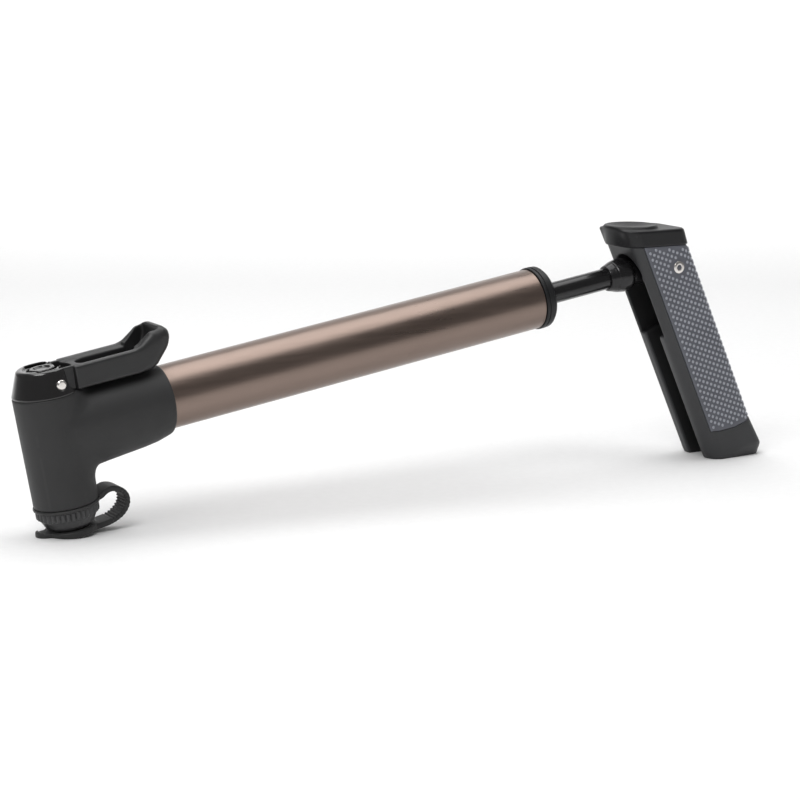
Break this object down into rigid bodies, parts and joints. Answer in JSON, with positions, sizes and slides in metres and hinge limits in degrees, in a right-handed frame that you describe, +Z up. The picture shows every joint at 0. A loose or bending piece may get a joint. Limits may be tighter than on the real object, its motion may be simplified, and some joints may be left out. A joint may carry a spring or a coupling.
{
  "type": "bicycle hand pump",
  "caption": "Small bicycle hand pump: metal barrel, thumb-lock valve head with rubber dust cap on a strap, piston rod and folding T-handle.",
  "frame": {"origin": "on the floor, under the middle of the pump's whole length and width, with the pump standing on its dust cap and the handle's foot", "axes": "+X from the head to the handle, +Y across, +Z up; the barrel's axis rises 9 degrees towards +X"},
  "size_m": [0.304, 0.024, 0.0921],
  "materials": {
    "anodised_bronze": "satin bronze anodising, fine grain along the tube",
    "soft_black": "soft-touch black",
    "gloss_black": "glossy moulded black",
    "lever_black": "fine satin black",
    "nose_grey": "satin dark grey",
    "rod_black": "glossy black anodising",
    "steel_bright": "bright plated steel",
    "strap_rubber": "matt black rubber",
    "seal_rubber": "smooth black seal rubber",
    "inner_plastic": "natural engineering plastic",
    "wiper_felt": "dense felt",
    "valve_brass": "turned brass",
    "handle_charcoal": "smooth satin charcoal",
    "grip_grey": "grey rubber with raised dots"
  },
  "bodies": {
    "pump": {"head_body": "soft_black", "head_top_cap": "gloss_black", "lever_pin": "steel_bright", "valve_grommet": "seal_rubber", "grommet_washer": "inner_plastic", "nose_ring": "nose_grey", "dust_cap_strap": "strap_rubber", "check_valve_seat": "inner_plastic", "barrel_gasket": "seal_rubber", "barrel": "anodised_bronze", "barrel_end_cap": "gloss_black", "rod_guide_bush": "inner_plastic", "rod_wiper": "wiper_felt"},
    "lever": {"lock_lever": "lever_black"},
    "plunger": {"plunger": "gloss_black", "plunger_o_ring": "seal_rubber", "valve_pin": "valve_brass"},
    "dust_cap": {"dust_cap": "strap_rubber"},
    "check_disc": {"check_disc": "seal_rubber"},
    "rod": {"piston_rod": "rod_black", "piston": "inner_plastic", "piston_o_ring": "seal_rubber", "piston_screw": "steel_bright", "rod_bumper": "seal_rubber", "rod_knuckle": "gloss_black"},
    "handle": {"handle_body": "handle_charcoal", "handle_grip": "grip_grey", "handle_top_cap": "handle_charcoal", "handle_pin": "steel_bright"}
  },
  "joints": [
    {"name": "rod_slide", "type": "slide", "parent": "pump", "child": "rod", "axis": [0.9877, 0, 0.1564], "range_m": [-0.028, 0.117]},
    {"name": "handle_pivot", "type": "hinge", "parent": "rod", "child": "handle", "pos_m": [0.10824, 0, 0.07606], "axis": [0, 1, 0], "range_deg": [0, 45]},
    {"name": "lever_pivot", "type": "hinge", "parent": "pump", "child": "lever", "pos_m": [-0.13866, 0, 0.05285], "axis": [0, -1, 0], "range_deg": [0, 90]},
    {"name": "plunger_slide", "type": "slide", "parent": "pump", "child": "plunger", "axis": [0.1564, 0, -0.9877], "range_m": [0, 0.002]},
    {"name": "dust_cap_hinge", "type": "hinge", "parent": "pump", "child": "dust_cap", "pos_m": [-0.11591, 0, 0.01018], "axis": [0, -1, 0], "range_deg": [0, 70], "stiffness_Nm_per_rad": 0.02, "deforming": ["dust_cap_strap"]},
    {"name": "check_disc_slide", "type": "slide", "parent": "pump", "child": "check_disc", "axis": [0.9877, 0, 0.1564], "range_m": [0, 0.0007]}
  ],
  "couplings": [
    {"joint": "plunger_slide", "follows": "lever_pivot", "m_per_rad": 0.001273}
  ]
}
